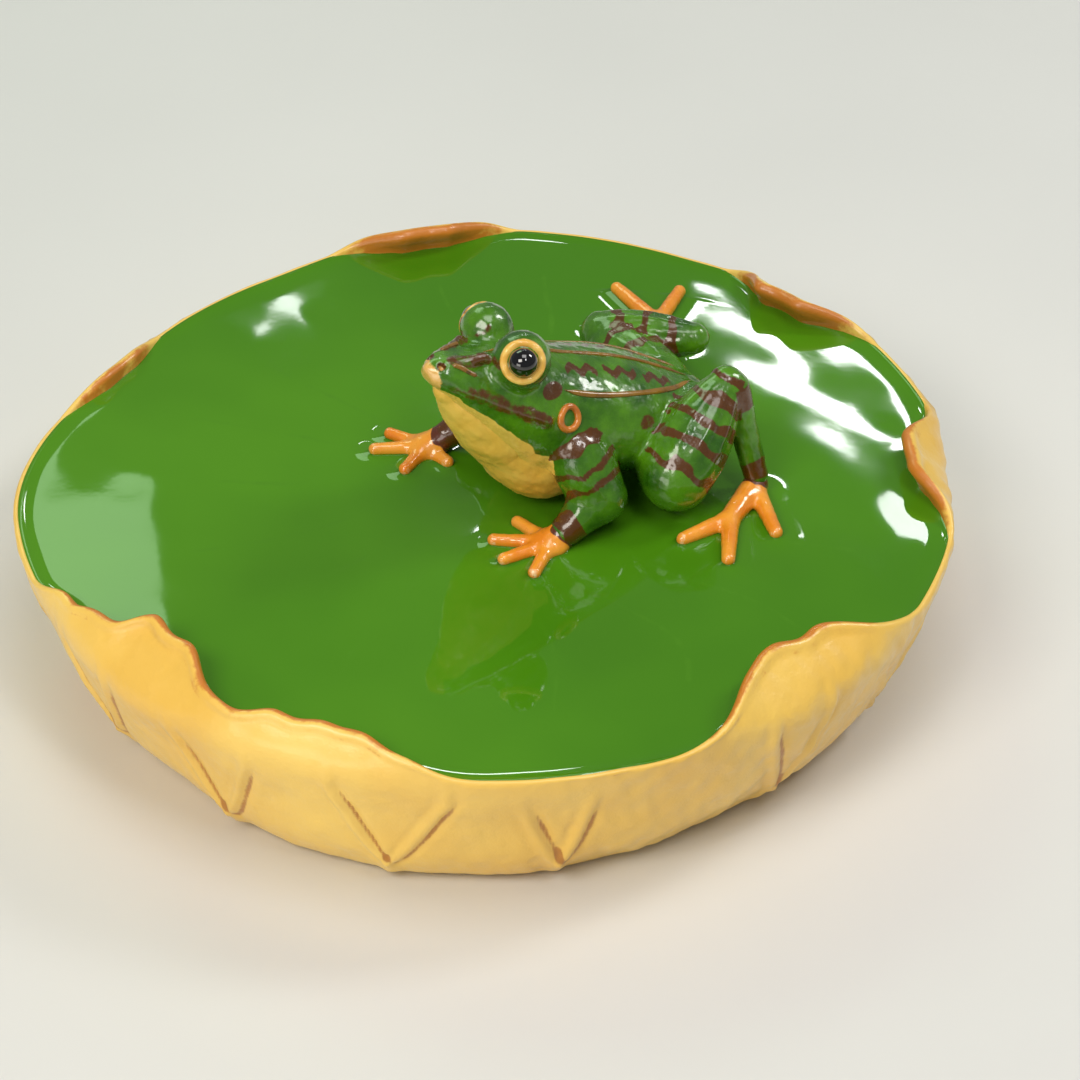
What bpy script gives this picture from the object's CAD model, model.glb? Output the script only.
import math

import bpy
import numpy as np
from mathutils import Matrix, Vector


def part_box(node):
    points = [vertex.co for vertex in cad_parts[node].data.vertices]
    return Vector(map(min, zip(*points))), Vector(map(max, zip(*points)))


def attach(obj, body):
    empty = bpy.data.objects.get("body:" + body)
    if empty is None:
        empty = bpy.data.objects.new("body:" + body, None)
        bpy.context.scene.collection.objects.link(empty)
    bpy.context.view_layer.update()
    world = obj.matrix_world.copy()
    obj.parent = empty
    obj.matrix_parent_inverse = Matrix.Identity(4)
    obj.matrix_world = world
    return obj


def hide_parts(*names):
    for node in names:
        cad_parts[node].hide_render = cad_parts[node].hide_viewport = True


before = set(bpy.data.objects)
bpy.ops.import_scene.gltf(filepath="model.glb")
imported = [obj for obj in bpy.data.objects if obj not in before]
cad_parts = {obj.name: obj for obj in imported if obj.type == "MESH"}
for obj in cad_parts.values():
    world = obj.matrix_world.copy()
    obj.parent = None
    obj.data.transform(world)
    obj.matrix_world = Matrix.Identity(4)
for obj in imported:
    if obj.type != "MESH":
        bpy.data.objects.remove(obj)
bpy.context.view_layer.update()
mm = 0.001
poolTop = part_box("resin_pool")[1][2] / mm
print("frame loaded, pool surface at", round(poolTop, 2), "mm")


# Small curve and blending helpers, all in millimetres.
def smoothCurve(knots, values, at):
    knots, values = np.asarray(knots, float), np.asarray(values, float)
    gap = np.diff(knots)
    slope = np.diff(values) / gap
    count = len(knots)
    matrix, right = np.eye(count), np.zeros(count)
    for i in range(1, count - 1):
        matrix[i, i - 1 : i + 2] = gap[i - 1], 2 * (gap[i - 1] + gap[i]), gap[i]
        right[i] = 6 * (slope[i] - slope[i - 1])
    bend = np.linalg.solve(matrix, right)
    at = np.clip(at, knots[0], knots[-1])
    i = np.clip(np.searchsorted(knots, at) - 1, 0, count - 2)
    h, t = gap[i], at - knots[i]
    start = slope[i] - h * (2 * bend[i] + bend[i + 1]) / 6
    return values[i] + t * (start + t * (bend[i] / 2 + t * (bend[i + 1] - bend[i]) / (6 * h)))


def ease(low, high, x):
    t = np.clip((x - low) / (high - low), 0, 1)
    return t * t * (3 - 2 * t)


def blendMin(a, b, soft):
    h = np.clip(0.5 + 0.5 * (b - a) / soft, 0, 1)
    return b * (1 - h) + a * h - soft * h * (1 - h)


def hump(x, width):
    return np.exp(-((x / width) ** 2))


def wobble(points, size, seed):
    # cheap smooth noise from a few waves, the same every run
    rng = np.random.default_rng(seed)
    total = np.zeros(len(points))
    for _ in range(14):
        wave = rng.normal(size=points.shape[1])
        wave *= (0.6 + 0.9 * rng.random()) * 2 * math.pi / (size * np.linalg.norm(wave))
        total += np.sin(points @ wave + rng.random() * 7)
    return total / 14 ** 0.5


def lumps(points, waves):
    # each wave has a height, a size and a seed
    return sum(height * wobble(points, size, seed) for height, size, seed in waves)


def distance(points, place, sizes=1):
    # sizes stretch the ball round the place into an egg
    return np.linalg.norm((points - np.array(place)) / sizes, axis=1)


def window(turn, half, flat=0.2):
    # 1 in the middle, easing to 0 at half a span away
    rest = np.clip((1 - np.abs(turn) / half) / (1 - flat), 0, 1)
    return rest * rest * (3 - 2 * rest)


def turnFrom(bearing, middle):
    return (bearing - middle + 180) % 360 - 180


def makePiece(name, points, faces, material, slot, *nodes):
    mesh = bpy.data.meshes.new(name)
    mesh.from_pydata((np.asarray(points) * mm).tolist(), [], faces)
    mesh.update()
    mesh.polygons.foreach_set("use_smooth", [True] * len(mesh.polygons))
    piece = bpy.data.objects.new(name, mesh)
    bpy.context.collection.objects.link(piece)
    piece.data.materials.append(material)
    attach(piece, "root")
    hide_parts(*nodes)
    print(name, len(mesh.polygons), "faces")
    return piece


def paint(piece, name, values):
    layer = piece.data.attributes.new(name, "FLOAT", "POINT")
    layer.data.foreach_set("value", np.asarray(values, np.float32))


def ringFaces(rows, around, first=0):
    faces = []
    for row in range(rows - 1):
        for k in range(around):
            a = first + row * around + k
            b = first + row * around + (k + 1) % around
            faces.append((a, b, b + around, a + around))
    return faces


# Shader helpers: node places a node and links or sets its inputs.
def node(tree, kind, feeds=None, **settings):
    made = tree.nodes.new(kind)
    for key, value in settings.items():
        setattr(made, key, value)
    for key, value in (feeds or {}).items():
        if isinstance(value, bpy.types.NodeSocket):
            tree.links.new(value, made.inputs[key])
        else:
            made.inputs[key].default_value = value
    return made


def srgb(red, green, blue):
    # a colour as a painter's 0-255 swatch, made linear
    return (*[((c / 255 + 0.055) / 1.055) ** 2.4 if c > 10 else c / 3294.6 for c in (red, green, blue)], 1)


def newGroup(name, inputs, outputs):
    group = bpy.data.node_groups.new(name, "ShaderNodeTree")
    for label, value in inputs.items():
        kind = "NodeSocketColor" if isinstance(value, tuple) else "NodeSocketFloat"
        group.interface.new_socket(name=label, in_out="INPUT", socket_type=kind).default_value = value
    for label, kind in outputs.items():
        group.interface.new_socket(name=label, in_out="OUTPUT", socket_type="NodeSocket" + kind)
    return group, group.nodes.new("NodeGroupInput").outputs, group.nodes.new("NodeGroupOutput").inputs


def maths(tree, operation, *values):
    return node(tree, "ShaderNodeMath", dict(enumerate(values)), operation=operation).outputs[0]


def noise(tree, where, scale, detail, roughness):
    feeds = {"Vector": where, "Scale": scale, "Detail": detail, "Roughness": roughness}
    return node(tree, "ShaderNodeTexNoise", feeds).outputs["Fac"]


def ramp(tree, value, low, high, first=0.0, last=1.0, **settings):
    feeds = {"Value": value, "From Min": low, "From Max": high, "To Min": first, "To Max": last}
    return node(tree, "ShaderNodeMapRange", feeds, **settings).outputs[0]


def mixed(tree, share, under, over):
    return node(tree, "ShaderNodeMix", {0: share, 6: under, 7: over}, data_type="RGBA").outputs[2]


def makeFiredGrain():
    # fine tooth, pinholes and slow clouds of a fired surface
    group, given, put = newGroup(
        "firedGrain",
        {"Grain Scale": 900.0, "Cloud Scale": 60.0, "Pits": 0.5},
        {"Height": "Float", "Cloud": "Float", "Pit": "Float"},
    )
    where = node(group, "ShaderNodeTexCoord").outputs["Object"]
    tooth = noise(group, where, given["Grain Scale"], 4.0, 0.6)
    coarser = maths(group, "MULTIPLY", given["Grain Scale"], 0.45)
    cell = node(group, "ShaderNodeTexVoronoi", {"Vector": where, "Scale": coarser})
    hole = ramp(group, cell.outputs["Distance"], 0.08, 0.3, 1.0, 0.0)
    cloud = ramp(group, noise(group, where, given["Cloud Scale"], 3.0, 0.55), 0.36, 0.64)
    sparse = maths(group, "MULTIPLY", hole, cloud)
    sunk = maths(group, "MULTIPLY", sparse, given["Pits"])
    height = maths(group, "SUBTRACT", tooth, sunk)
    for label, source in (("Height", height), ("Cloud", cloud), ("Pit", sparse)):
        group.links.new(source, put[label])
    return group


def makeBrushedPaint():
    # lays one colour over another where the amount is high, with a ragged brushed edge
    group, given, put = newGroup(
        "brushedPaint",
        {
            "Under": (0.5, 0.5, 0.5, 1), "Over": (0.1, 0.1, 0.1, 1),
            "Amount": 0.0, "Ragged": 0.5, "Brush Scale": 700.0,
        },
        {"Color": "Color"},
    )
    where = node(group, "ShaderNodeTexCoord").outputs["Object"]
    bristle = noise(group, where, given["Brush Scale"], 4.0, 0.65)
    centred = maths(group, "SUBTRACT", bristle, 0.5)
    shifted = maths(group, "MULTIPLY_ADD", centred, given["Ragged"], given["Amount"])
    mask = ramp(group, shifted, 0.38, 0.6, interpolation_type="SMOOTHSTEP")
    group.links.new(mixed(group, mask, given["Under"], given["Over"]), put["Color"])
    return group


firedGrain, brushedPaint = makeFiredGrain(), makeBrushedPaint()


class Finish:
    # one glaze: a clouded base, painted layers over it, and the gloss set on the shader itself
    def __init__(self, name, light, dark, grain, clouds, pits):
        self.material = bpy.data.materials.new(name)
        self.material.use_nodes = True
        self.tree = self.material.node_tree
        self.shader = self.tree.nodes["Principled BSDF"]
        self.grain = node(self.tree, "ShaderNodeGroup", node_tree=firedGrain)
        for label, value in (("Grain Scale", grain), ("Cloud Scale", clouds), ("Pits", pits)):
            self.grain.inputs[label].default_value = value
        self.colour = mixed(self.tree, self.grain.outputs["Cloud"], srgb(*light), srgb(*dark))

    def layer(self, amount, over, ragged, brush):
        if isinstance(amount, str):
            amount = node(self.tree, "ShaderNodeAttribute", attribute_name=amount).outputs["Fac"]
        brushed = node(self.tree, "ShaderNodeGroup", node_tree=brushedPaint)
        self.tree.links.new(self.colour, brushed.inputs["Under"])
        self.tree.links.new(amount, brushed.inputs["Amount"])
        brushed.inputs["Over"].default_value = srgb(*over)
        brushed.inputs["Ragged"].default_value = ragged
        brushed.inputs["Brush Scale"].default_value = brush
        self.colour = brushed.outputs["Color"]

    def gloss(self, smoothest, roughest, bump, depth, coat=0.0, coatRough=0.03):
        height = self.grain.outputs["Height"]
        rough = ramp(self.tree, height, 0.3, 0.7, smoothest, roughest)
        feeds = {"Height": height, "Strength": bump, "Distance": depth * mm}
        relief = node(self.tree, "ShaderNodeBump", feeds)
        self.tree.links.new(self.colour, self.shader.inputs["Base Color"])
        self.tree.links.new(rough, self.shader.inputs["Roughness"])
        self.tree.links.new(relief.outputs[0], self.shader.inputs["Normal"])
        self.shader.inputs["Coat Weight"].default_value = coat
        self.shader.inputs["Coat Roughness"].default_value = coatRough
        return self.material


def ochreClay():
    clay = Finish("ochreClay", (250, 210, 104), (240, 192, 84), 700, 45, 0.5)
    clay.layer("groove", (190, 126, 42), 0.4, 500)
    clay.layer("rimEdge", (206, 124, 38), 0.8, 350)
    return clay.gloss(0.3, 0.48, 0.45, 0.3, coat=0.4, coatRough=0.2)


def pondResin():
    resin = Finish("pondResin", (80, 140, 20), (68, 126, 14), 120, 22, 0.0)
    resin.layer("leafLine", (76, 134, 22), 0.5, 300)
    resin.layer("depth", (48, 98, 10), 0.25, 80)
    return resin.gloss(0.02, 0.045, 0.02, 0.2)


def frogGlaze():
    glaze = Finish("frogGlaze", (82, 138, 16), (42, 90, 8), 1300, 240, 0.4)
    glaze.layer("throat", (244, 202, 92), 0.25, 700)
    glaze.layer("brown", (88, 50, 8), 0.85, 900)
    glaze.layer("cream", (226, 178, 92), 0.9, 1100)
    return glaze.gloss(0.14, 0.36, 0.5, 0.12, coat=0.7, coatRough=0.05)


def throatGlaze():
    glaze = Finish("throatGlaze", (246, 206, 96), (238, 186, 70), 1000, 160, 0.2)
    return glaze.gloss(0.3, 0.5, 0.4, 0.1, coat=0.25, coatRough=0.2)


def footGlaze():
    glaze = Finish("footGlaze", (250, 168, 54), (236, 132, 26), 1000, 200, 0.2)
    glaze.layer("wrist", (96, 46, 24), 0.5, 900)
    glaze.layer("tip", (252, 214, 160), 0.9, 1200)
    return glaze.gloss(0.16, 0.32, 0.35, 0.1, coat=0.8, coatRough=0.05)


def stripeSlip(name, light, dark):
    slip = Finish(name, light, dark, 1500, 500, 0.3)
    slip.layer(slip.grain.outputs["Pit"], (86, 62, 18), 0.5, 1200)
    return slip.gloss(0.2, 0.4, 0.35, 0.08, coat=0.7, coatRough=0.08)


def ringCream():
    slip = Finish("ringCream", (246, 204, 104), (232, 170, 62), 1500, 420, 0.3)
    slip.layer("border", (140, 80, 30), 0.9, 1100)
    return slip.gloss(0.2, 0.36, 0.35, 0.08, coat=0.6, coatRough=0.08)


def beadGlass():
    glass = Finish("beadGlass", (3, 3, 4), (8, 7, 7), 900, 300, 0.0)
    return glass.gloss(0.02, 0.05, 0.03, 0.02, coat=1.0, coatRough=0.02)


# The leaf: a dish with a wavy rim, rolled in at its folds.
leaf = {
    "radius": 50.2,
    "foot": 41.0,
    "footCorner": 1.5,
    "brim": 17.6,
    "floor": 4.0,
    "around": 880,
    "outerRows": 70,
    # bearing, half span, rise above the brim, reach inward over the pool
    "folds": [
        (312.5, 21, 3.8, 5.8), (249, 21, 2.7, 4.2), (225, 15, 3.9, 6.0), (210, 9, 1.8, 3.0),
        (156, 13, 1.6, 2.4), (99, 15, 3.0, 5.0), (42, 14, 3.0, 6.4), (1, 15, 3.1, 6.2),
    ],
    "dents": [(136, 54, 5.2), (72, 41, 2.3)],  # flatter stretches: bearing, half span, depth
    "footSwell": (262, 42, 1.8),  # the clay sags out low down at the front
    # level, radius short of the widest, share of each fold's reach
    "wall": [
        (1.5, 6.6, 0.0), (4.5, 4.5, 0.0), (8.5, 2.7, 0.0), (12.5, 1.3, 0.0),
        (17.6, 0.0, 0.2), (21.0, -0.1, 0.9), (25.0, 0.1, 1.5),
    ],
    "veins": (236, 258, 279, 310, 332, 353, 14, 37, 60, 84, 106, 128, 150, 172, 193, 214),
    "veinFork": 3.2,  # level where a vein parts in two
    "veinSpread": 5.4,  # degrees from the middle to each arm, high up
    "veinHeight": (16.0, 2.0),  # how high the arms reach, and how much that varies
    "arm": (0.34, 0.75),  # a raised arm: height and half width
    "cut": (0.36, 0.55, 1.0),  # the groove beside it: depth, half width, distance from the arm
    "trunk": (0.6, 1.1),  # where the arms join: height and half width
    "thumbed": [(0.1, 2.6, 10), (0.13, 5.0, 11)],  # small lumps, then slow ones: height, size, seed
    "slow": [(0.16, 14.0, 12)],
    "thick": 4.0,  # the wall at the floor
    "lip": (0.7, 1.0),  # the lip between the folds, and how much thicker it is on a fold
}


def rimRise(bearing):
    return sum(window(turnFrom(bearing, middle), half) * rise for middle, half, rise, reach in leaf["folds"])


def rimReach(bearing):
    return sum(window(turnFrom(bearing, middle), half) * reach for middle, half, rise, reach in leaf["folds"])


def wallRadius(level, bearing):
    levels, shorts, shares = zip(*leaf["wall"])
    low = leaf["footCorner"]
    short = smoothCurve(levels, shorts, level)
    atFoot = leaf["radius"] - leaf["foot"]
    corner = atFoot + (shorts[0] - atFoot) * np.sqrt(np.clip(level / low, 0, 1))
    short = np.where(level < low, corner, short)
    share = np.where(level < low, 0, np.maximum(smoothCurve(levels, shares, level), 0))
    dent = sum(window(turnFrom(bearing, middle), half) * depth for middle, half, depth in leaf["dents"])
    middle, half, depth = leaf["footSwell"]
    swell = window(turnFrom(bearing, middle), half) * depth * (1 - ease(0, 12, level))
    return leaf["radius"] - short - dent - share * rimReach(bearing) + swell


def veinRelief(level, bearing):
    relief, groove = np.zeros_like(bearing), np.zeros_like(bearing)
    arc = leaf["radius"] * math.pi / 180
    tall, varied = leaf["veinHeight"]
    armRise, armHalf = leaf["arm"]
    cutDeep, cutHalf, cutAway = leaf["cut"]
    trunkRise, trunkHalf = leaf["trunk"]
    for number, middle in enumerate(leaf["veins"]):
        turn = turnFrom(bearing, middle)
        climb = np.clip((level - leaf["veinFork"]) / 11, 0, 1)
        lean = 0.9 * math.sin(number * 2.1) * climb
        spread = leaf["veinSpread"] * climb**0.8 * (1 + 0.3 * math.sin(number * 1.9))
        height = tall + varied * math.sin(number * 2.7)
        show = ease(2.2, 4.5, level) * (1 - ease(height - 5, height + 1.5, level))
        for side in (-1, 1):
            off = (turn - lean - side * spread) * arc
            cut = hump(off - cutAway, cutHalf) + 0.5 * hump(off + cutAway, cutHalf)
            relief += (armRise * hump(off, armHalf) - cutDeep * cut) * show
            groove += 0.62 * cut * show
        trunk = hump(turn * arc, trunkHalf) * ease(0.4, 1.6, level) * (1 - ease(3.5, 8, level))
        relief += trunkRise * trunk
    return relief, np.clip(groove, 0, 1)


def lipThickness(bearing):
    thin, more = leaf["lip"]
    return thin + more * np.clip(rimRise(bearing) / 3.0, 0, 1)


def rimCrest(bearing):
    spot = np.c_[np.cos(np.radians(bearing)), np.sin(np.radians(bearing))] * 50
    folded = np.clip(rimRise(bearing) / 3.6, 0, 1)
    return leaf["brim"] - 0.1 + rimRise(bearing) + 0.15 * wobble(spot, 7, 3) * (0.3 + folded)


def innerRadius(level, bearing):
    # the clay thickens from the lip down to the floor, and under a fold the hollow stays open
    top = rimCrest(bearing) - lipThickness(bearing) * 0.5
    level = np.minimum(level, top)
    lip = lipThickness(bearing)
    thick = lip + (leaf["thick"] - lip) * ease(0, 6, top - level)
    underFold = wallRadius(top, bearing) + 0.9 * (top - level)
    return np.minimum(wallRadius(level, bearing), underFold) - thick


def buildLeaf():
    around = leaf["around"]
    bearing = np.arange(around) * 360 / around
    east, north = np.cos(np.radians(bearing)), np.sin(np.radians(bearing))
    lip, crest = lipThickness(bearing), rimCrest(bearing)
    top = crest - lip * 0.5
    folded = 0.4 + 0.6 * np.clip(rimRise(bearing) / 2.4, 0, 1)  # how strongly the lip is coloured
    rows, edges, grooves = [], [], []

    def addRow(radius, level, edge, groove=0.0):
        rows.append(np.c_[radius * east, radius * north, level + 0 * bearing])
        edges.append(edge + 0 * bearing)
        grooves.append(groove + 0 * bearing)

    for share in (0.15, 0.4, 0.65, 0.85, 0.97):
        addRow(wallRadius(0 * bearing, bearing) * share, 0.0, 0.0)
    for step in range(leaf["outerRows"]):
        level = top * (0.003 + 0.997 * (step / (leaf["outerRows"] - 1)) ** 1.12)
        where = np.c_[east * 50, north * 50, level]
        dimpled = 0.6 + 0.4 * np.sin(np.radians(bearing + 60))  # one side is thumbed more than the other
        rough = lumps(where, leaf["thumbed"]) * dimpled + lumps(where, leaf["slow"])
        vein, groove = veinRelief(level, bearing)
        radius = wallRadius(level, bearing) + (vein + rough) * ease(0, 1.2, level)
        addRow(radius, level, 0.36 * ease(0.5, 0.0, top - level), groove)
    edgeRadius = wallRadius(top, bearing) - lip * 0.5
    for turn in (25, 50, 75, 100, 125, 150, 175):
        a = math.radians(turn)
        brown = (0.34 + 0.42 * ease(50, 120, turn)) * folded
        addRow(edgeRadius + lip * 0.5 * math.cos(a), top + lip * 0.55 * math.sin(a), brown)
    for step in range(1, 15):
        level = top + (leaf["floor"] + 1.5 - top) * (step / 14)
        addRow(innerRadius(level, bearing), level, 0.75 * folded)
    for radius in (34.0, 20.0, 8.0):
        addRow(radius, leaf["floor"], 0.0)
    points = np.concatenate(rows + [np.array([[0, 0, 0.0], [0, 0, leaf["floor"]]])])
    faces = ringFaces(len(rows), around)
    last = (len(rows) - 1) * around
    under, inside = len(points) - 2, len(points) - 1
    for k in range(around):
        faces.append((under, (k + 1) % around, k))
        faces.append((inside, last + k, last + (k + 1) % around))
    piece = makePiece("lotusLeafDish", points, faces, ochreClay(), "leaf_clay", "leaf_dish")
    paint(piece, "rimEdge", np.concatenate(edges + [np.zeros(2)]))
    paint(piece, "groove", np.concatenate(grooves + [np.zeros(2)]))


buildLeaf()


# The frog, in its own frame: forward, left and up from the pool.
frogSeat = {"heading": 207.0, "place": (13.0, 1.4), "lean": 27.0}
headWay = math.radians(frogSeat["heading"])
frogAxes = np.array([
    [math.cos(headWay), math.sin(headWay), 0],
    [-math.sin(headWay), math.cos(headWay), 0],
    [0, 0, 1],
])
frogOrigin = np.array([frogSeat["place"][0], frogSeat["place"][1], poolTop])
lean = math.radians(frogSeat["lean"])
spine = np.array([math.cos(lean), 0, math.sin(lean)])
upward = np.array([-math.sin(lean), 0, math.cos(lean)])


def toWorld(points):
    return np.asarray(points, float) @ frogAxes + frogOrigin


def toFrog(points):
    return (np.asarray(points, float) - frogOrigin) @ frogAxes.T


# trunk stations: forward, left, up, half width, half height
stations = np.array([
    (-12.3, 0.0, 4.0, 0.8, 0.7), (-11.2, 0.0, 4.5, 2.8, 2.1), (-8.0, 0.0, 5.5, 5.4, 3.8),
    (-3.2, 0.0, 6.6, 7.4, 5.5), (1.8, 0.0, 8.3, 8.1, 6.5), (9.6, 0.1, 11.4, 7.3, 6.6),
    (14.0, 0.5, 15.2, 6.3, 4.9), (17.7, 1.0, 18.0, 4.2, 3.0), (20.4, 1.4, 20.0, 2.5, 1.8),
    (21.6, 1.6, 20.7, 1.35, 1.1),
])
face = {
        "nostrils": [(20.8, 2.5, 21.2), (21.1, 0.7, 21.2)],
    "nostril": 0.4,
    "lips": [
        [(21.2, 2.3, 20.0), (17.7, 4.7, 18.3), (12.8, 6.6, 15.4), (11.2, 6.8, 14.2)],
        [(21.5, 0.9, 20.0), (18.6, -2.1, 18.1), (14.2, -5.2, 15.3), (12.2, -5.9, 14.0)],
    ],
    "lip": 0.75,
    "browRidge": [[(19.6, 2.2, 21.0), (16.2, 3.0, 21.4)], [(19.8, 0.4, 20.8), (16.2, -2.6, 20.0)]],
}
eyes = {
    "Left": {"mound": (12.6, 4.3, 20.7), "looks": (0.35, 0.80, 0.50), "seat": 2.3, "radius": 3.05},
    "Right": {"mound": (12.4, -3.9, 19.4), "looks": (0.05, -0.98, -0.05), "seat": 1.62, "radius": 2.8},
}
throatRolls = [
    ((8.0, 0, 6.6), (12.2, 0.4, 11.0), (6.2, 6.0, 4.9)),
    ((12.2, 0.4, 11.0), (19.2, 1.3, 17.7), (4.9, 4.3, 1.8)),
]
limbs = {
    "armLeft": [
        ((7.2, 6.4, 8.8), (5.8, 9.0, 4.2), (3.1, 3.3, 2.7)),
        ((5.8, 9.0, 4.2), (10.0, 9.8, 1.8), (2.7, 2.2, 1.7)),
    ],
    "armRight": [
        ((7.2, -6.2, 8.6), (9.0, -9.5, 4.8), (3.1, 3.0, 2.4)),
        ((9.0, -9.5, 4.8), (13.8, -10.6, 2.0), (2.4, 1.9, 1.5)),
    ],
    "thighLeft": [((-8.0, 3.6, 6.6), (-3.0, 8.6, 5.6), (3.6, 4.2, 3.9))],
    "thighRight": [((-8.0, -3.6, 6.4), (-6.6, -12.4, 6.6), (3.4, 3.4, 2.6))],
    "shankLeft": [((-2.6, 10.2, 5.0), (-10.2, 6.8, 12.2), (3.9, 3.7, 1.8))],
    "shankRight": [((-6.8, -13.6, 6.8), (-14.0, -6.4, 8.4), (2.6, 2.7, 1.7))],
    "tarsusLeft": [((-10.9, 7.4, 11.6), (-12.0, 10.8, 2.2), (1.7, 1.5, 1.3))],
    "tarsusRight": [((-14.4, -7.2, 7.8), (-16.0, -15.4, 1.9), (1.6, 1.5, 1.3))],
}
# brown bands round the limbs: limb, roll, place along it, half width, strength
bands = [
    ("armLeft", 0, -0.22, 0.14, 1.0), ("armLeft", 0, 0.3, 0.07, 0.74),
    ("armLeft", 0, 0.66, 0.08, 0.76), ("armLeft", 1, 0.95, 0.16, 1.0),
    ("armRight", 0, 0.2, 0.10, 0.9), ("armRight", 1, 0.2, 0.10, 0.8), ("armRight", 1, 0.92, 0.16, 1.0),
    ("thighLeft", 0, 0.25, 0.06, 0.9), ("thighLeft", 0, 0.62, 0.06, 0.8), ("thighLeft", 0, 0.95, 0.06, 0.75),
    ("shankLeft", 0, 0.05, 0.045, 0.8), ("shankLeft", 0, 0.3, 0.045, 0.85),
    ("shankLeft", 0, 0.55, 0.045, 0.9), ("shankLeft", 0, 0.8, 0.06, 0.95), ("shankLeft", 0, 1.02, 0.05, 0.8),
    ("thighRight", 0, 0.35, 0.06, 0.8), ("thighRight", 0, 0.75, 0.06, 0.8),
    ("shankRight", 0, 0.2, 0.05, 0.85), ("shankRight", 0, 0.5, 0.05, 0.85), ("shankRight", 0, 0.8, 0.06, 0.9),
    ("tarsusLeft", 0, 0.1, 0.12, 0.9), ("tarsusLeft", 0, 0.92, 0.1, 0.8), ("tarsusRight", 0, 0.15, 0.08, 0.8),
]
feet = {
    "forefoot_left": {
        "palm": (11.8, 9.6, 0.5), "wrist": (10.0, 9.8, 1.8),
        "tips": [(13.2, 4.8, 0.5), (16.8, 6.4, 0.5), (17.4, 9.8, 0.5), (15.6, 13.2, 0.5)],
    },
    "forefoot_right": {
        "palm": (15.8, -11.4, 0.5), "wrist": (13.8, -10.6, 2.0),
        "tips": [(18.2, -15.4, 0.5), (20.9, -13.6, 0.5), (19.6, -8.9, 0.5), (15.0, -8.0, 0.5)],
    },
    "hindfoot_left": {
        "wrist": (-12.0, 10.8, 2.2),
        "rolls": [
            ((-11.9, 11.0, 1.0), (-6.7, 14.7, 0.8), (1.4, 1.25, 1.1)),
            ((-11.4, 12.6, 0.7), (-10.0, 18.6, 0.5), (1.0, 0.85, 0.72)),
            ((-5.6, 14.8, 0.7), (-0.8, 15.2, 0.5), (0.9, 0.85, 0.72)),
            ((-6.2, 15.6, 0.7), (-3.3, 20.3, 0.5), (0.95, 0.85, 0.72)),
        ],
    },
    "hindfoot_right": {
        "wrist": (-16.0, -15.4, 1.9),
        "rolls": [
            ((-16.1, -15.7, 1.0), (-17.6, -20.4, 0.8), (1.4, 1.25, 1.1)),
            ((-17.4, -21.6, 0.75), (-17.0, -29.0, 0.5), (0.9, 0.85, 0.72)),
            ((-18.4, -21.2, 0.75), (-23.0, -25.2, 0.5), (0.85, 0.8, 0.72)),
            ((-15.6, -17.6, 0.75), (-11.6, -24.0, 0.5), (0.95, 0.85, 0.72)),
        ],
    },
}
finger = (0.85, 0.74, 0.68)  # at the knuckle, the middle and the tip


def roll(points, start, end, radii, flutes=0.0):
    start, end = np.array(start, float), np.array(end, float)
    along = end - start
    t = np.clip((points - start) @ along / (along @ along), 0, 1)
    low, mid, high = radii
    radius = low * (1 - t) * (1 - 2 * t) + 4 * mid * t * (1 - t) + high * t * (2 * t - 1)
    away = points - start - t[:, None] * along
    if flutes:
        side = np.cross(along, (0, 0, 1.0))
        side /= np.linalg.norm(side)
        front = np.cross(side, along / np.linalg.norm(along))
        angle = np.arctan2(away @ side, away @ front)
        fade = ease(0.3, 1, np.abs(np.sin(angle / 2 + 1)))
        radius = radius + flutes * np.sin(angle * 11) * np.sin(np.pi * t) * fade
    return np.linalg.norm(away, axis=1) - radius


def trunkField(points):
    at = points @ spine
    s = stations[:, :3] @ spine
    rise = stations[:, :3] @ upward
    knots = np.r_[s[0] - 0.6, s, s[-1] + 0.9]
    inside = np.clip(at, knots[0], knots[-1])
    width = np.maximum(smoothCurve(knots, np.r_[0.02, stations[:, 3], 0.02], inside), 0.02)
    height = np.maximum(smoothCurve(knots, np.r_[0.02, stations[:, 4], 0.02], inside), 0.02)
    left = smoothCurve(knots, np.r_[stations[0, 1], stations[:, 1], stations[-1, 1]], inside)
    lift = smoothCurve(knots, np.r_[rise[0], rise, rise[-1]], inside)
    u, v = points[:, 1] - left, points @ upward - lift
    q = np.sqrt((u / width) ** 2 + (v / height) ** 2)
    slope = np.sqrt((u / width**2) ** 2 + (v / height**2) ** 2) / np.maximum(q, 1e-6)
    flat = (q - 1) / np.maximum(slope, 1e-6)
    flat = np.where(q < 0.05, -np.minimum(width, height), flat)
    beyond = np.abs(at - inside)
    return np.where(beyond > 0, np.hypot(np.maximum(flat, 0), beyond), flat)


def chain(points, path, radius):
    # a thin ridge along a few points
    field = np.full(len(points), 1e3)
    for start, end in zip(path[:-1], path[1:]):
        field = np.minimum(field, roll(points, start, end, (radius, radius, radius)))
    return field


def limbField(points, name):
    field = np.full(len(points), 1e3)
    flutes = 0.13 if name[:5] in ("thigh", "shank") else 0.0
    for start, end, radii in limbs[name]:
        field = blendMin(field, roll(points, start, end, radii, flutes), 0.9)
    return field


def skinField(points):
    field = trunkField(points)
    for eye in eyes.values():
        ball = distance(points, eye["mound"]) - eye["radius"]
        field = blendMin(field, ball, 1.3)
    for path in face["lips"]:
        field = blendMin(field, chain(points, path, face["lip"]), 0.5)
    for path in face["browRidge"]:
        field = blendMin(field, chain(points, path, 0.5), 1.0)
    for place in face["nostrils"]:
        pit = face["nostril"] - distance(points, place)
        field = -blendMin(-field, -pit, 0.15)
    for name in limbs:
        field = blendMin(field, limbField(points, name), 0.6)
    return field


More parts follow.
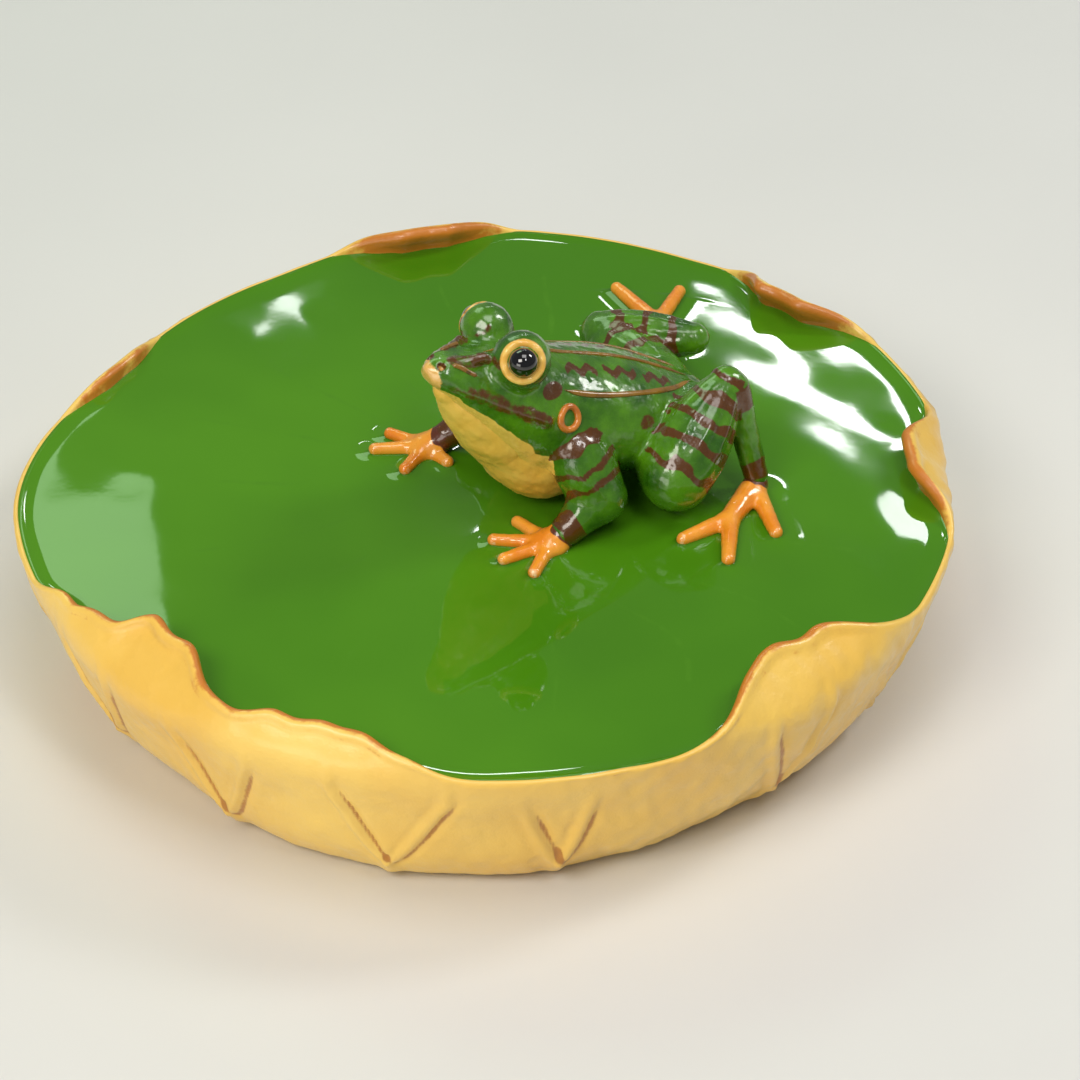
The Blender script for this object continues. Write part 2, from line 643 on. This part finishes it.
def throatField(points):
    field = np.full(len(points), 1e3)
    for start, end, radii in throatRolls:
        field = blendMin(field, roll(points, start, end, radii), 1.5)
    return field - 0.1 - 0.06 * wobble(points, 3.4, 21)


def footField(points, foot):
    field = np.full(len(points), 1e3)
    if "palm" in foot:
        palm = np.array(foot["palm"])
        field = (distance(points, palm, (2.0, 2.0, 1.3)) - 1) * 1.3
        for tip in foot["tips"]:
            knuckle = palm * 0.75 + np.array(tip) * 0.25
            field = blendMin(field, roll(points, knuckle, tip, finger), 0.5)
        field = blendMin(field, roll(points, palm + (0, 0, 0.2), foot["wrist"], (1.3, 1.4, 1.5)), 0.7)
    for start, end, radii in foot.get("rolls", []):
        field = blendMin(field, roll(points, start, end, radii), 0.7)
    return field


def netField(fieldOf, low, high, step):
    # joins the grid cells that the skin crosses
    axes = [np.arange(low[i], high[i] + step, step) for i in range(3)]
    shape = tuple(len(axis) for axis in axes)
    field = coarseFirst(shape, axes, fieldOf, step)
    inside = field < 0
    corners = [(a, b, c) for a in (0, 1) for b in (0, 1) for c in (0, 1)]
    cells = tuple(n - 1 for n in shape)
    value = {k: field[tuple(slice(k[i], k[i] + cells[i]) for i in range(3))] for k in corners}
    count = sum((value[k] < 0).astype(int) for k in corners)
    crossed = (count > 0) & (count < 8)
    index = np.full(cells, -1)
    where = np.argwhere(crossed)
    index[tuple(where.T)] = np.arange(len(where))
    total, weight = np.zeros((len(where), 3)), np.zeros(len(where))
    at = {k: value[k][tuple(where.T)] for k in corners}
    for a in corners:
        for b in corners:
            if sum(abs(p - q) for p, q in zip(a, b)) == 1 and a < b:
                cut = (at[a] < 0) != (at[b] < 0)
                t = np.where(cut, at[a] / np.where(cut, at[a] - at[b], 1), 0)
                crossing = np.array(a) + t[:, None] * (np.array(b) - np.array(a))
                total += np.where(cut[:, None], crossing, 0)
                weight += cut
    points = (where + total / weight[:, None]) * step + np.array([axis[0] for axis in axes])
    faces = []
    for axis in range(3):
        u, v = (axis + 1) % 3, (axis + 2) % 3
        first = [slice(None)] * 3
        second = [slice(None)] * 3
        first[axis], second[axis] = slice(0, -1), slice(1, None)
        change = inside[tuple(first)] != inside[tuple(second)]
        spots = np.argwhere(change)
        within = [(spots[:, k] > 0) & (spots[:, k] < cells[k]) for k in (u, v)]
        spots = spots[within[0] & within[1]]
        offsets = []
        for du, dv in ((-1, -1), (0, -1), (0, 0), (-1, 0)):
            move = np.zeros(3, int)
            move[u], move[v] = du, dv
            offsets.append(index[tuple((spots + move).T)])
        quads = np.stack(offsets, axis=1)
        outward = inside[tuple(spots.T)]
        quads = np.where(outward[:, None], quads, quads[:, ::-1])
        faces.append(quads)
    faces = np.concatenate(faces)
    return points, faces[(faces >= 0).all(axis=1)]


def coarseFirst(shape, axes, fieldOf, step):
    # reads the field on every fourth grid line, then fills in only near the skin
    few = [np.append(axis[::4], axis[-1] + step) for axis in axes]
    x, y, z = np.meshgrid(*few, indexing="ij")
    rough = fieldOf(np.c_[x.ravel(), y.ravel(), z.ravel()]).reshape(x.shape)
    block = rough
    for axis in range(3):
        low = np.take(block, range(block.shape[axis] - 1), axis)
        high = np.take(block, range(1, block.shape[axis]), axis)
        block = np.where(np.abs(low) < np.abs(high), low, high)
    for axis in range(3):
        block = np.repeat(block, 4, axis)
    field = block[: shape[0], : shape[1], : shape[2]].copy()
    near = np.argwhere(np.abs(field) < step * 7)
    places = np.stack([axes[k][near[:, k]] for k in range(3)], axis=1)
    for part in np.array_split(np.arange(len(near)), max(1, len(near) // 200000)):
        field[tuple(near[part].T)] = fieldOf(places[part])
    return field


def slopeOf(fieldOf, points, reach=0.02):
    slope = np.empty_like(points)
    for axis in range(3):
        move = np.zeros(3)
        move[axis] = reach
        slope[:, axis] = fieldOf(points + move) - fieldOf(points - move)
    return slope / np.maximum(np.linalg.norm(slope, axis=1), 1e-9)[:, None]


def settle(fieldOf, points, rounds=2):
    for _ in range(rounds):
        points = points - fieldOf(points)[:, None] * slopeOf(fieldOf, points) * 0.9
    return points


skinned = {
    "low": (-26, -32, -1.2),
    "high": (24, 23, 25),
    "sunk": 0.35,  # how far a piece reaches into the resin
    "skin": (0.27, 0.6, 0.022),
    "throat": (0.26, 0.5, 0.03),
    "foot": (0.17, 0.35, 0.012),
}


def buildSkinned(fieldOf, kind):
    # a closed skin on the field, with the fine unevenness of brushed glaze
    step, quickStep, tooth = skinned[kind]
    points, faces = netField(fieldOf, skinned["low"], skinned["high"], step)
    points = settle(fieldOf, points, 3)
    way = slopeOf(fieldOf, points)
    points = points + way * (tooth * wobble(points, 1.5, 31) + tooth * 0.8 * wobble(points, 0.8, 32))[:, None]
    points[:, 2] = np.maximum(points[:, 2], -skinned["sunk"])
    return points, faces.tolist()


def sloping(points):
    # places over the back: along the spine and left
    return (points - stations[4, :3]) @ spine, points[:, 1]


def brownOn(points):
    brown = np.zeros(len(points))
    shift = 0.5 * wobble(points, 3.5, 41)
    for name, number, at, half, strength in bands:
        start, end, radii = limbs[name][number]
        start, along = np.array(start), np.array(end) - np.array(start)
        t = (points - start) @ along / (along @ along)
        size = half * np.linalg.norm(along)
        off = (t - at) * np.linalg.norm(along) + shift * 0.7
        near = limbField(points, name) < 0.45
        brown = np.maximum(brown, np.where(near, strength * ease(1.35, 0.75, np.abs(off) / size), 0))
    along, left = sloping(points)
    back = points @ upward > 9.0
    for side in (-1, 1):
        saw = np.abs((along / 2.1) % 1 - 0.5) * 2.6 - 0.65
        gap = ease(0.15, 0.4, np.abs(np.sin(along * 0.62 + 0.8)))
        off = np.abs(left * side - 2.7 - saw * 0.8)
        reach = window(along - 1.4, 7.8, 0.8)
        brown = np.maximum(brown, np.where(back, ease(0.7, 0.35, off) * gap * reach, 0))
        comma = distance(points, (9.4, side * 5.5, 16.6), (1.7, 1.2, 0.8))
        brown = np.maximum(brown, 0.9 * ease(1.2, 0.8, comma))
        fleck = distance(points, (-1.0, side * 8.0, 10.6), (1.6, 1.5, 1.1))
        brown = np.maximum(brown, 0.62 * ease(1.3, 0.7, fleck))
    for path in face["lips"] + face["browRidge"]:
        brown = np.maximum(brown, 0.56 * ease(0.75, 0.25, chain(points, path, face["lip"] - 0.25)))
    for place in face["nostrils"]:
        brown = np.maximum(brown, 0.9 * ease(0.7, 0.45, distance(points, place)))
    brows = []
    for eye in eyes.values():
        away = np.linalg.norm(points - np.array(eye["mound"]) - (0.9, 0, 1.2), axis=1)
        brows.append(np.abs(away - 2.2))
    return np.maximum(brown, 0.5 * ease(0.5, 0.1, np.minimum(*brows)) * (points[:, 0] > 13.0))


def creamOn(points):
    snout = distance(points, (21.6, 1.6, 19.9), (1.7, 1.9, 1.6))
    return 0.95 * ease(1.25, 0.7, snout)


def throatOn(points):
    # the yellow of the throat runs a little way up the cheek
    return ease(1.15, 0.75, throatField(points)) * ease(8.5, 10.0, points[:, 0])


skinPoints, skinFaces = buildSkinned(skinField, "skin")
skinPiece = makePiece(
    "frogSkin", toWorld(skinPoints), skinFaces, frogGlaze(), "frog_green",
    "frog_body", *[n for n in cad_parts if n.split("_")[0] in ("foreleg", "thigh", "shank", "tarsus")],
)
paint(skinPiece, "brown", brownOn(skinPoints))
paint(skinPiece, "cream", creamOn(skinPoints))
paint(skinPiece, "throat", throatOn(skinPoints))

throatPoints, throatFaces = buildSkinned(throatField, "throat")
throatAt = toWorld(throatPoints)
makePiece("throatAndBreast", throatAt, throatFaces, throatGlaze(), "throat_yellow", "frog_throat")

for nodeName, foot in feet.items():
    kind, side = nodeName.split("_")
    footPoints, footFaces = buildSkinned(lambda p: footField(p, foot), "foot")
    name = kind + side.capitalize()
    footPiece = makePiece(name, toWorld(footPoints), footFaces, footGlaze(), "foot_orange", nodeName)
    ends = foot.get("tips") or [r[1] for r in foot["rolls"][1:]]
    tipAway = np.min([distance(footPoints, e) for e in ends], axis=0)
    wristAway = distance(footPoints, foot["wrist"])
    paint(footPiece, "tip", 0.5 * ease(1.0, 0.55, tipAway))
    paint(footPiece, "wrist", 0.9 * ease(2.3, 1.5, wristAway + 0.25 * wobble(footPoints, 2.0, 51)))


# Eyes: a glass bead pressed into a cream clay ring.
eyeParts = {"ring": 2.36, "bead": 1.5, "proud": 0.72, "around": 96}


def lathe(profile, middle, facing, around, closed):
    # turns a profile of radius and height about the way the eye looks
    facing = np.array(facing) / np.linalg.norm(facing)
    side = np.cross(facing, (0, 0, 1.0))
    side /= np.linalg.norm(side)
    third = np.cross(facing, side)
    angle = np.arange(around) * 2 * math.pi / around
    rim = np.cos(angle)[:, None] * side - np.sin(angle)[:, None] * third
    points = np.concatenate([middle + rim * radius + facing * height for radius, height in profile])
    rows = len(profile)
    faces = ringFaces(rows, around)
    if closed:
        for k in range(around):
            a, b = (rows - 1) * around + k, (rows - 1) * around + (k + 1) % around
            faces.append((a, b, (k + 1) % around, k))
        return points, faces
    for row, flip in ((0, True), (rows - 1, False)):
        points = np.concatenate([points, [middle + facing * profile[row][1]]])
        for k in range(around):
            a, b = row * around + k, row * around + (k + 1) % around
            faces.append((b, a, len(points) - 1) if flip else (a, b, len(points) - 1))
    return points, faces


def buildEye(side, eye):
    looks = np.array(eye["looks"]) / np.linalg.norm(eye["looks"])
    middle = np.array(eye["mound"]) + looks * eye["seat"]
    wide, bead = eyeParts["ring"], eyeParts["bead"]
    turns = np.radians(np.arange(348, -12, -12))
    inner, outer = bead - 0.12, wide
    mid, half = (inner + outer) / 2, (outer - inner) / 2
    # the ring is a flattened coil that runs back under the skin
    ring = [(mid + half * math.cos(a), (0.42 if math.sin(a) > 0 else 1.3) * math.sin(a)) for a in turns]
    points, faces = lathe(ring, middle, looks, eyeParts["around"], True)
    points = points + 0.05 * wobble(points, 1.4, 61)[:, None] * looks
    ringNode = "eye_ring_" + side.lower()
    piece = makePiece("eyeRing" + side, toWorld(points), faces, ringCream(), "eye_ring_cream", ringNode)
    gap = np.linalg.norm(points - middle - looks * ((points - middle) @ looks)[:, None], axis=1)
    paint(piece, "border", 0.42 * ease(0.2, 0.0, outer - gap))
    # the bead has a blind bore at its back, where it was held
    bore = 0.3
    ball = [(bead * math.sin(a), bead * math.cos(a)) for a in np.radians(np.linspace(2, 168, 56))]
    ball += [(bore, -1.2), (bore * 0.9, -0.5)]
    points, faces = lathe(ball, middle + looks * eyeParts["proud"], looks, eyeParts["around"], False)
    makePiece("eyeBead" + side, toWorld(points), faces, beadGlass(), "eye_glass", "eye_bead_" + side.lower())


for side, eye in eyes.items():
    buildEye(side, eye)


# Coloured lines and ear rings: coils laid on the skin by one Geometry Nodes tree.
coils = {
    "dorsalStripe": ("dorsal_stripe", [(-9.5, 0.0), (0.0, 0.0), (9.0, 0.1), (17.5, 0.9)], 0.28),
    "sideFoldLeft": ("side_fold_left", [(-9.0, 1.7), (-4.0, 4.1), (2.0, 5.3), (9.0, 5.1)], 0.32),
    "sideFoldRight": ("side_fold_right", [(-9.0, -1.7), (-4.0, -4.1), (2.0, -5.3), (9.0, -4.9)], 0.32),
    "snoutStripeLeft": ("snout_stripe_left", [(19.3, 4.0), (20.4, 3.5), (22.0, 2.9)], 0.24),
    "snoutStripeRight": ("snout_stripe_right", [(19.2, -1.3), (20.4, -0.7), (22.0, 0.2)], 0.24),
}
ears = {
    "earRingLeft": ("ear_ring_left", (8.4, 30.0, 13.6), -1),
    "earRingRight": ("ear_ring_right", (8.4, -30.0, 13.6), 1),
}
earSize = {"radius": 1.08, "coil": 0.36}


def makeCoilTree():
    tree = bpy.data.node_groups.new("coilOnSkin", "GeometryNodeTree")
    plugs = tree.interface
    plugs.new_socket(name="Path", in_out="INPUT", socket_type="NodeSocketGeometry")
    for label, value in (
        ("Half Width", 0.45), ("Half Height", 0.3), ("End Taper", 0.1),
        ("End Size", 0.2), ("Unevenness", 0.25), ("Seed", 5.0),
    ):
        plugs.new_socket(name=label, in_out="INPUT", socket_type="NodeSocketFloat").default_value = value
    plugs.new_socket(name="Glaze", in_out="INPUT", socket_type="NodeSocketMaterial")
    plugs.new_socket(name="Coil", in_out="OUTPUT", socket_type="NodeSocketGeometry")
    given, put = tree.nodes.new("NodeGroupInput").outputs, tree.nodes.new("NodeGroupOutput").inputs
    curve = node(tree, "GeometryNodeMeshToCurve", {"Mesh": given["Path"]})
    lift = node(tree, "GeometryNodeInputNamedAttribute", {"Name": "skinWay"}, data_type="FLOAT_VECTOR")
    upright = {"Curve": curve.outputs[0], "Normal": lift.outputs["Attribute"]}
    turned = node(tree, "GeometryNodeSetCurveNormal", upright, mode="FREE")
    along = node(tree, "GeometryNodeSplineParameter").outputs["Factor"]
    nearer = maths(tree, "MINIMUM", along, maths(tree, "SUBTRACT", 1.0, along))
    taper = ramp(tree, nearer, 0.0, given["End Taper"], given["End Size"], interpolation_type="SMOOTHSTEP")
    waves = {"W": given["Seed"], "Scale": 450.0, "Detail": 2.0}
    hand = node(tree, "ShaderNodeTexNoise", waves, noise_dimensions="4D").outputs["Fac"]
    uneven = maths(tree, "MULTIPLY_ADD", maths(tree, "SUBTRACT", hand, 0.5), given["Unevenness"], 1.0)
    radius = maths(tree, "MULTIPLY", taper, uneven)
    circle = node(tree, "GeometryNodeCurvePrimitiveCircle", {"Resolution": 20, "Radius": mm})
    size = node(tree, "ShaderNodeCombineXYZ", {"X": given["Half Height"], "Y": given["Half Width"], "Z": 1.0})
    profile = node(tree, "GeometryNodeTransform", {"Geometry": circle.outputs[0], "Scale": size.outputs[0]})
    coil = node(tree, "GeometryNodeCurveToMesh", {
        "Curve": turned.outputs[0], "Profile Curve": profile.outputs[0], "Scale": radius, "Fill Caps": True,
    })
    smooth = node(tree, "GeometryNodeSetShadeSmooth", {"Geometry": coil.outputs[0]})
    real = node(tree, "GeometryNodeRealizeInstances", {"Geometry": smooth.outputs[0]})
    glazed = node(tree, "GeometryNodeSetMaterial", {"Geometry": real.outputs[0], "Material": given["Glaze"]})
    tree.links.new(glazed.outputs[0], put["Coil"])
    return tree


coilTree = makeCoilTree()
stripeGlaze = stripeSlip("stripeSlip", (150, 108, 28), (122, 82, 20))
earGlaze = stripeSlip("earSlip", (210, 126, 40), (180, 96, 26))


def dropOnSkin(starts, way, far=14.0):
    # slides each place along one way until it meets the skin
    way = np.array(way) / np.linalg.norm(way)
    steps = np.linspace(0, far, 141)
    inside = np.array([skinField(starts + way * s) < 0 for s in steps])
    first = np.argmax(inside, axis=0)
    low, high = steps[np.maximum(first - 1, 0)], steps[first]
    for _ in range(12):
        half = (low + high) / 2
        under = skinField(starts + way * half[:, None]) < 0
        low, high = np.where(under, low, half), np.where(under, half, high)
    return starts + way * half[:, None]


def layCoil(name, nodeName, path, closed, glaze, sizes):
    ways = slopeOf(skinField, path, 0.15)
    path = path + ways * sizes.pop("lift")
    mesh = bpy.data.meshes.new(name + "Path")
    count = len(path)
    edges = [(k, (k + 1) % count) for k in range(count if closed else count - 1)]
    mesh.from_pydata((toWorld(path) * mm).tolist(), edges, [])
    layer = mesh.attributes.new("skinWay", "FLOAT_VECTOR", "POINT")
    layer.data.foreach_set("vector", (ways @ frogAxes).astype(np.float32).ravel())
    piece = bpy.data.objects.new(name, mesh)
    bpy.context.collection.objects.link(piece)
    modifier = piece.modifiers.new("coil", "NODES")
    modifier.node_group = coilTree
    sockets = {item.name: item.identifier for item in coilTree.interface.items_tree if item.in_out == "INPUT"}
    for label, value in sizes.items():
        modifier[sockets[label]] = value
    modifier[sockets["Glaze"]] = glaze
    bpy.context.view_layer.update()
    solid = bpy.data.meshes.new_from_object(piece.evaluated_get(bpy.context.evaluated_depsgraph_get()))
    piece.modifiers.clear()
    piece.data = solid
    solid.name = name
    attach(piece, "root")
    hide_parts(nodeName)
    print(name, len(solid.polygons), "faces")


for number, (name, (nodeName, course, halfWidth)) in enumerate(coils.items()):
    course = np.array(course)
    t = np.linspace(0, len(course) - 1, 90)
    along = smoothCurve(np.arange(len(course)), course[:, 0], t)
    left = smoothCurve(np.arange(len(course)), course[:, 1], t)
    starts = stations[4, :3] + along[:, None] * spine + left[:, None] * (0, 1.0, 0) + 13.5 * upward
    onSkin = dropOnSkin(starts, -upward)
    layCoil(name, nodeName, onSkin, False, stripeGlaze, {
        "Half Width": halfWidth, "Half Height": 0.18, "End Taper": 0.09, "End Size": 0.15,
        "Unevenness": 0.5, "Seed": 3.0 + number, "lift": 0.02,
    })

for number, (name, (nodeName, outside, inward)) in enumerate(ears.items()):
    turn = np.arange(60) * 2 * math.pi / 60
    spread = np.c_[np.cos(turn), 0 * turn, np.sin(turn)] * earSize["radius"]
    onSkin = dropOnSkin(np.array(outside) + spread, (0, inward, 0), 28.0)
    layCoil(name, nodeName, onSkin, True, earGlaze, {
        "Half Width": earSize["coil"], "Half Height": 0.36, "End Taper": 0.001, "End Size": 1.0,
        "Unevenness": 0.2, "Seed": 9.0 + number, "lift": 0.08,
    })


# The pool: resin poured level with the lowest rim, climbing a little wherever it wets the clay.
pool = {
    "middle": (9.0, 0.0),
    "around": 560,
    "near": 74,  # rows within nearReach of the middle, then far rows out to the clay
    "nearReach": 30.0,
    "far": 56,
    "swell": [(0.03, 34, 71), (0.005, 9, 72)],  # height, size, seed
    "climb": 0.3,  # how high the resin climbs the clay
    "wet": 0.42,  # how high it climbs the frog, and over what distance
    "wetReach": 0.8,
    "deep": 12.9,
    "veins": 18,
    "veinHub": (2.0, -1.0),
}


def poolEdge(direction, depth, into):
    # how far the resin reaches from the pool's middle in each direction, and a little into the clay
    middle = np.array(pool["middle"])
    low, high = np.full(len(direction), 20.0), np.full(len(direction), 70.0)
    ray = np.c_[np.cos(direction), np.sin(direction)]
    for _ in range(24):
        half = (low + high) / 2
        at = middle + ray * half[:, None]
        bearing = np.degrees(np.arctan2(at[:, 1], at[:, 0])) % 360
        inside = np.hypot(*at.T) < innerRadius(np.full(len(at), poolTop - depth), bearing) + into
        low, high = np.where(inside, half, low), np.where(inside, high, half)
    return low


def buildPool():
    around = pool["around"]
    direction = np.arange(around) * 2 * math.pi / around
    edge = poolEdge(direction, 0.0, 0.15)
    ray = np.c_[np.cos(direction), np.sin(direction)]
    nearRows = np.linspace(0.4, pool["nearReach"], pool["near"])
    shares = np.linspace(0, 1, pool["far"] + 1)[1:] ** 0.8
    reaches = [np.full(around, r) for r in nearRows]
    reaches += [pool["nearReach"] + (edge - pool["nearReach"]) * s for s in shares]
    flat = np.concatenate([np.array(pool["middle"]) + ray * reach[:, None] for reach in reaches])
    toEdge = np.concatenate([edge - reach for reach in reaches])
    climb = pool["climb"] * np.exp(-np.maximum(toEdge, 0) / 0.7)
    onPool = toFrog(np.c_[flat, np.full(len(flat), poolTop)])
    near = np.hypot(onPool[:, 0], onPool[:, 1]) < 34
    gap = np.full(len(flat), 9.0)
    gap[near] = skinField(onPool[near])
    for foot in feet.values():
        gap[near] = np.minimum(gap[near], footField(onPool[near], foot))
    wet = pool["wet"] * np.exp(-np.maximum(gap, 0) / pool["wetReach"]) * ease(9.0, 6.0, gap)
    level = poolTop - 0.05 + climb + wet + lumps(flat, pool["swell"])
    points = [np.c_[flat, level]]
    # the sides and underside lie inside the clay
    skirt = ((1.0, 0.5), (1.0, 2.0), (1.0, 6.0), (1.0, 10.0), (0.96, 12.6), (0.3, pool["deep"]))
    for share, depth in skirt:
        reach = poolEdge(direction, depth, 0.3) * share
        side = np.array(pool["middle"]) + ray * reach[:, None]
        points.append(np.c_[side, np.full(around, poolTop - depth)])
    rows = len(reaches) + len(skirt)
    hubs = [[*pool["middle"], level[:around].mean()], [*pool["middle"], poolTop - pool["deep"]]]
    points = np.concatenate(points + [hubs])
    faces = [f[::-1] for f in ringFaces(rows, around)]
    top, under, last = len(points) - 2, len(points) - 1, (rows - 1) * around
    for k in range(around):
        faces.append((top, k, (k + 1) % around))
        faces.append((under, last + (k + 1) % around, last + k))
    piece = makePiece("resinPool", points, faces, pondResin(), "pool_resin", "resin_pool")
    # faint leaf veins, seen through the resin
    east, north = (points[:, :2] - np.array(pool["veinHub"])).T
    reach = np.hypot(east, north)
    turn = np.arctan2(north, east) * pool["veins"] / (2 * math.pi)
    off = np.abs((turn + 0.12 * wobble(points[:, :2], 30, 73) + 0.5) % 1 - 0.5)
    off = off * reach * 2 * math.pi / pool["veins"]
    paint(piece, "leafLine", 0.45 * ease(0.9, 0.2, off) * ease(8, 20, reach) * ease(48, 38, reach))
    shade = np.zeros(len(points))
    shade[: len(flat)] = 0.5 * ease(1.6, 0.0, gap)
    paint(piece, "depth", shade)


buildPool()
print("frog and pool built")


# Camera, lights and floor.
view = {"height": 37.0, "away": 420.0, "aimHeight": 14.0, "lens": 130.8, "shiftX": 0.051, "shiftY": -0.037}
lift = math.radians(view["height"])
cameraData = bpy.data.cameras.new("camera")
camera = bpy.data.objects.new("camera", cameraData)
bpy.context.collection.objects.link(camera)
back, up = view["away"] * math.cos(lift), view["away"] * math.sin(lift)
camera.location = (0, -back * mm, (view["aimHeight"] + up) * mm)
camera.rotation_euler = (math.pi / 2 - lift, 0, 0)
cameraData.lens, cameraData.sensor_width = view["lens"], 36
cameraData.shift_x, cameraData.shift_y = view["shiftX"], view["shiftY"]
cameraData.clip_start = 0.01
bpy.context.scene.camera = camera

paper = Finish("paleFloor", (226, 225, 221), (219, 218, 214), 300, 6, 0.1)
floorMesh = bpy.data.meshes.new("floor")
floorMesh.from_pydata([(-3, -3, 0), (3, -3, 0), (3, 3, 0), (-3, 3, 0)], [], [(0, 1, 2, 3)])
floorMesh.materials.append(paper.gloss(0.55, 0.7, 0.1, 0.1))
floor = bpy.data.objects.new("floor", floorMesh)
bpy.context.collection.objects.link(floor)

# soft boxes: place, what they face, width and height in millimetres, brightness, colour, way of the width
softBoxes = {
    "keyBox": ((-230, -330, 420), (0, -20, 10), (260, 200), 9.0, (1.0, 0.95, 0.87), (1, 0, 0)),
    "fillBox": ((-250, -330, 90), (0, 0, 15), (220, 120), 3.2, (1.0, 0.96, 0.88), (1, -0.7, 0)),
    "topBox": ((60, -60, 620), (0, 0, 10), (300, 260), 3.8, (1.0, 0.99, 0.97), (1, 0, 0)),
    "rightBox": ((330, 120, 330), (5, 0, 15), (90, 130), 16.0, (1.0, 0.99, 0.96), (0, 1, 0)),
    "frontRightBox": ((150, -250, 420), (0, 0, 15), (50, 110), 16.0, (1.0, 1.0, 1.0), (1, 0, 0)),
    "leftSheet": ((-160, 308, 329), (-45, -5, 17), (186, 128), 3.2, (0.7, 1.0, 0.66), (1, 0.1, 0)),
    "backStrip": ((68, 392, 274), (33, 20, 17), (56, 7), 26.0, (0.97, 1.0, 1.0), (39, -50, 16)),
    "sideStrip": ((94, 350, 288), (44, -6, 17), (16, 8), 14.0, (0.97, 1.0, 1.0), (1, 0.1, 0)),
    "middleStrip": ((-1, 360, 281), (-1, 4, 17), (26, 12), 18.0, (0.97, 1.0, 1.0), (1, 0, 0.8)),
    "farStrip": ((-45, 408, 268), (-22, 34, 17), (13, 7), 12.0, (0.97, 1.0, 1.0), (1, 0.3, 0)),
}


def hangSoftBox(name, place, aim, size, bright, colour, across):
    data = bpy.data.lights.new(name, "AREA")
    data.shape = "RECTANGLE"
    data.size, data.size_y = size[0] * mm, size[1] * mm
    data.energy, data.color = bright * math.pi * size[0] * size[1] * mm * mm, colour
    lamp = bpy.data.objects.new(name, data)
    bpy.context.collection.objects.link(lamp)
    lamp.location = [v * mm for v in place]
    facing = (Vector(place) - Vector(aim)).normalized()
    across = (Vector(across) - facing * facing.dot(Vector(across))).normalized()
    lamp.rotation_euler = Matrix((across, facing.cross(across), facing)).transposed().to_euler()


for name, box in softBoxes.items():
    hangSoftBox(name, *box)
world = bpy.data.worlds.new("room")
bpy.context.scene.world = world
world.use_nodes = True
world.node_tree.nodes["Background"].inputs["Color"].default_value = (0.9, 0.93, 1, 1)
world.node_tree.nodes["Background"].inputs["Strength"].default_value = 0.2
bpy.context.scene.view_settings.view_transform = "Standard"
print("camera, lights and floor set")
